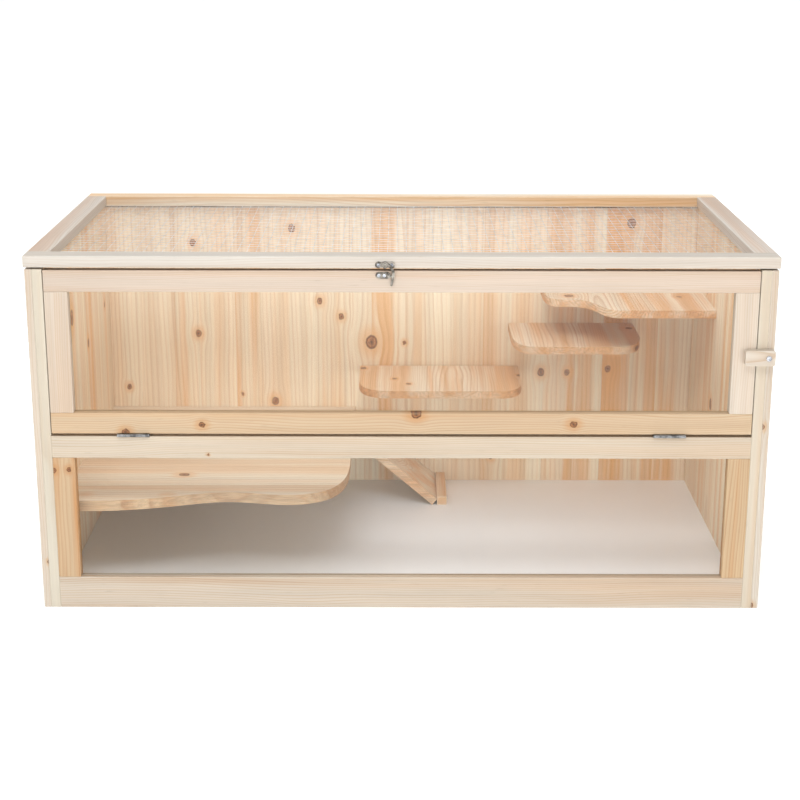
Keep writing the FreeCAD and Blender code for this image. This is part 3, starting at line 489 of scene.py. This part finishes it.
SIDE_STAVES = [
    (62, 20, 40, 0.30, 0.50), (74, -30, 50, 0.30, 0.35), (58, 5, 24, 0.60, 0.40), (80, 40, 50, 0.30, 0.55),
    (66, -8, 26, 0.75, 0.30), (52, 25, 45, 0.40, 0.45), (68, -40, 60, 0.45, 0.50), (40, 10, 40, 0.30, 0.30),
]
LEFT_KNOTS = [(None, -70, 372, 9.0), (None, 42, 305, 5.0), (None, 190, 330, 3.5), (None, -120, 100, 6.0)]
RIGHT_KNOTS = [(None, 48, 208, 7.0), (None, 120, 372, 5.0), (None, -150, 330, 4.0)]


# The frame boards get the painted outer shade all over.
for label, look in BOARDS.items():
    low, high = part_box(label)
    frame_board = any(word in label for word in FRAME_WORDS)
    dress([label], fir("fir_" + label, low=low, high=high, outer_shade="all" if frame_board else "none", **look))

# The panels get the painted outer shade on their outer faces.
for label, staves, knots, axis, seed in (
        ("back_panel", BACK_STAVES, BACK_KNOTS, "x", 41),
        ("left_side_panel", SIDE_STAVES, LEFT_KNOTS, "y", 42),
        ("right_side_panel", SIDE_STAVES[::-1], RIGHT_KNOTS, "y", 43)):
    low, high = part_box(label)
    dress([label], fir("fir_" + label, "z", low, high, ring=7.0, contrast=0.55, knots=knots, staves=staves,
                       across=axis, seed=seed, tint=(1.01, 1.01, 0.96), outer_shade="outside"))


# ---- white floor board ----

def white_board():
    made, g, shader = material("white_board")
    point = g.object_point()
    cloud = g.noise(point, 9.0, 3.0)
    peel = g.noise(point, 420.0, 2.0)
    dust = g.step(g.noise(point, 300.0, 1.0), 0.78, 0.86)
    colour = g.mix(cloud, rgb(240, 240, 242), rgb(247, 247, 249))
    colour = g.mix(g.math("MULTIPLY", dust, 0.25), colour, rgb(196, 170, 140))
    g.feed(shader.inputs["Base Color"], colour)
    g.feed(shader.inputs["Roughness"], g.math("MULTIPLY_ADD", cloud, 0.14, 0.36))
    g.feed(shader.inputs["Normal"], g.bump(peel, 0.12, 0.0002))
    return made


dress(["floor_board"], white_board())


# ---- clear panes ----

PANE_TINT = (0.985, 0.990, 0.985, 1.0)
PANE_IOR = 1.49
PANE_SHINE = 0.8


def pane():
    """Clear acrylic 2 mm thick: it passes light straight on, mirrors more at a slant and has a faint haze."""
    made, g, shader = material("clear_pane")
    point = g.object_point()
    haze = g.noise(point, 7.0, 4.0, 0.6)
    speck = g.step(g.noise(point, 520.0, 1.0), 0.80, 0.88)
    scratch = g.noise(g.vector("MULTIPLY", point, (40.0, 40.0, 1500.0)), detail=1.0)
    through = g.node("ShaderNodeBsdfTransparent", {"Color": PANE_TINT})
    mirror = g.node("ShaderNodeBsdfGlossy", {"Color": (1.0, 1.0, 1.0, 1.0), "Roughness": 0.03})
    g.feed(mirror.inputs["Normal"], g.bump(scratch, 0.02, 0.0001))
    fresnel = g.node("ShaderNodeFresnel", {"IOR": PANE_IOR}).outputs[0]
    inner_face = g.node("ShaderNodeNewGeometry").outputs["Backfacing"]
    outer_face = g.math("SUBTRACT", 1.0, inner_face)
    shine = g.math("MULTIPLY", g.math("MULTIPLY", fresnel, outer_face), PANE_SHINE)
    glossy = g.node("ShaderNodeMixShader", {0: shine, 1: through.outputs[0], 2: mirror.outputs[0]})
    for name, value in (("Base Color", (0.93, 0.93, 0.92, 1.0)), ("Roughness", 0.4)):
        g.feed(shader.inputs[name], value)
    veil = g.math("ADD", g.step(haze, 0.35, 0.75, 0.002, 0.012), g.math("MULTIPLY", speck, 0.06))
    whole = g.node("ShaderNodeMixShader", {0: veil, 1: glossy.outputs[0], 2: shader.outputs[0]})
    output = next(n for n in g.tree.nodes if n.type == "OUTPUT_MATERIAL")
    g.tree.links.new(whole.outputs[0], output.inputs["Surface"])
    return made


dress(["lower_window", "door_window"], pane())


# ---- metals ----

def metal(name, colour, dull, rough, scale, brushed=(1.0, 1.0, 1.0), bump=0.15):
    """Plated metal with a grain of crystals or brush lines, and dulled patches."""
    made, g, shader = material(name)
    point = g.vector("MULTIPLY", g.object_point(), brushed)
    grain = g.noise(point, scale, 3.0, 0.6)
    patch = g.noise(g.object_point(), scale / 9, 2.0)
    g.feed(shader.inputs["Base Color"], g.mix(g.step(patch, 0.35, 0.7), colour, dull))
    worn = g.math("MULTIPLY_ADD", patch, 0.16, rough - 0.19)
    g.feed(shader.inputs["Roughness"], g.math("MULTIPLY_ADD", grain, 0.22, worn))
    g.feed(shader.inputs["Normal"], g.bump(grain, bump, 0.0001))
    shader.inputs["Metallic"].default_value = 1.0
    return made


dress(["lid_mesh"], metal("galvanised_wire", rgb(232, 233, 235), rgb(205, 207, 210), 0.42, 700.0))
dress([n for n in nodes if "hinge" in n and "screw" not in n],
      metal("hinge_steel", rgb(150, 151, 152), rgb(84, 84, 84), 0.30, 900.0, (0.08, 1.0, 1.0)))
dress(["latch_plate", "latch_keeper", "latch_rivet", "latch_hook"],
      metal("nickel_latch", rgb(132, 127, 119), rgb(52, 48, 44), 0.20, 800.0, bump=0.08))
dress([n for n in nodes if n.endswith(("screws", "screw", "staples"))],
      metal("zinc_screws", rgb(168, 170, 174), rgb(104, 106, 112), 0.26, 1100.0, bump=0.1))


# ---- rounded edges of the sawn shelves ----

def soften(name, width):
    edge = nodes[name].modifiers.new("edge", "BEVEL")
    edge.width = width
    edge.segments = 2
    edge.limit_method = "ANGLE"
    edge.angle_limit = math.radians(50)
    edge.harden_normals = False


SHELF_EDGE = 0.0012
RAMP_EDGE = 0.0007
for label in ("platform", "shelf_low", "shelf_middle", "shelf_high"):
    soften(label, SHELF_EDGE)
for label in ("ramp", "ramp_stop"):
    soften(label, RAMP_EDGE)


# ---- floor, light and camera ----

def stage_floor():
    """A pale sweep: a floor that curves up far behind the cage."""
    reach, rise, radius, steps = 9.0, 7.0, 4.0, 24
    profile = [(-reach, 0.0)]
    profile += [(reach - radius + radius * math.sin(math.pi / 2 * i / steps),
                 radius - radius * math.cos(math.pi / 2 * i / steps)) for i in range(steps + 1)]
    profile.append((reach, rise))
    points = [(x, y, z) for y, z in profile for x in (-reach, reach)]
    faces = [(2 * i, 2 * i + 1, 2 * i + 3, 2 * i + 2) for i in range(len(profile) - 1)]
    mesh = bpy.data.meshes.new("studio_floor")
    mesh.from_pydata(points, [], faces)
    floor = bpy.data.objects.new("studio_floor", mesh)
    bpy.context.scene.collection.objects.link(floor)
    made, g, shader = material("studio_floor")
    paper = g.noise(g.object_point(), 60.0, 2.0)
    g.feed(shader.inputs["Base Color"], g.mix(paper, rgb(246, 246, 246), rgb(250, 250, 250)))
    g.feed(shader.inputs["Roughness"], 0.9)
    shader.inputs["Emission Color"].default_value = (1.0, 1.0, 1.0, 1.0)
    shader.inputs["Emission Strength"].default_value = 0.24
    mesh.materials.append(made)
    floor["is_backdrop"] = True


def area_light(name, place, target, size, power):
    lamp = bpy.data.lights.new(name, "AREA")
    lamp.shape = "RECTANGLE"
    lamp.size, lamp.size_y = size
    lamp.energy = power
    holder = bpy.data.objects.new(name, lamp)
    holder.location = place
    holder.rotation_euler = (Vector(target) - Vector(place)).to_track_quat("-Z", "Y").to_euler()
    bpy.context.scene.collection.objects.link(holder)


stage_floor()
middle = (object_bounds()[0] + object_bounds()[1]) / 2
area_light("softbox_top", (-0.2, -1.7, 2.4), middle, (1.3, 0.8), 26.0)
area_light("softbox_left", (-1.5, -2.6, 0.36), middle, (1.3, 0.7), 13.0)
area_light("softbox_right", (1.5, -2.6, 0.36), middle, (1.3, 0.7), 15.0)
area_light("softbox_low", (0.2, -2.3, 0.26), (0.1, 0.0, 0.16), (2.4, 0.4), 9.0)


def studio_world():
    """White walls all round. The room in front of the cage lights it less, and the camera sees only white."""
    world = bpy.data.worlds.new("studio")
    world.use_nodes = True
    g = Graph(world.node_tree)
    background = next(n for n in world.node_tree.nodes if n.type == "BACKGROUND")
    direction = g.node("ShaderNodeTexCoord").outputs["Generated"]
    y, z = g.split(direction)[1], g.split(direction)[2]
    room = g.step(g.math("MULTIPLY_ADD", z, 0.9, y), -0.55, 0.45, 0.16, 1.15)
    seen = g.node("ShaderNodeLightPath").outputs["Is Camera Ray"]
    room = g.math("MAXIMUM", room, seen)
    g.feed(background.inputs["Color"], g.join(room, room, room))
    g.feed(background.inputs["Strength"], 1.0)
    bpy.context.scene.world = world


studio_world()

lens = bpy.data.cameras.new("camera")
lens.sensor_width = 36.0
lens.lens = 73.88
lens.shift_y = -0.0283
camera = bpy.data.objects.new("camera", lens)
camera.location = (-0.0019, -2.3708, 0.9381)
camera.rotation_euler = Euler((math.radians(74.121), math.radians(-0.102), math.radians(0.033)), "XYZ")
bpy.context.scene.collection.objects.link(camera)
bpy.context.scene.camera = camera
bpy.context.scene.view_settings.view_transform = "Standard"
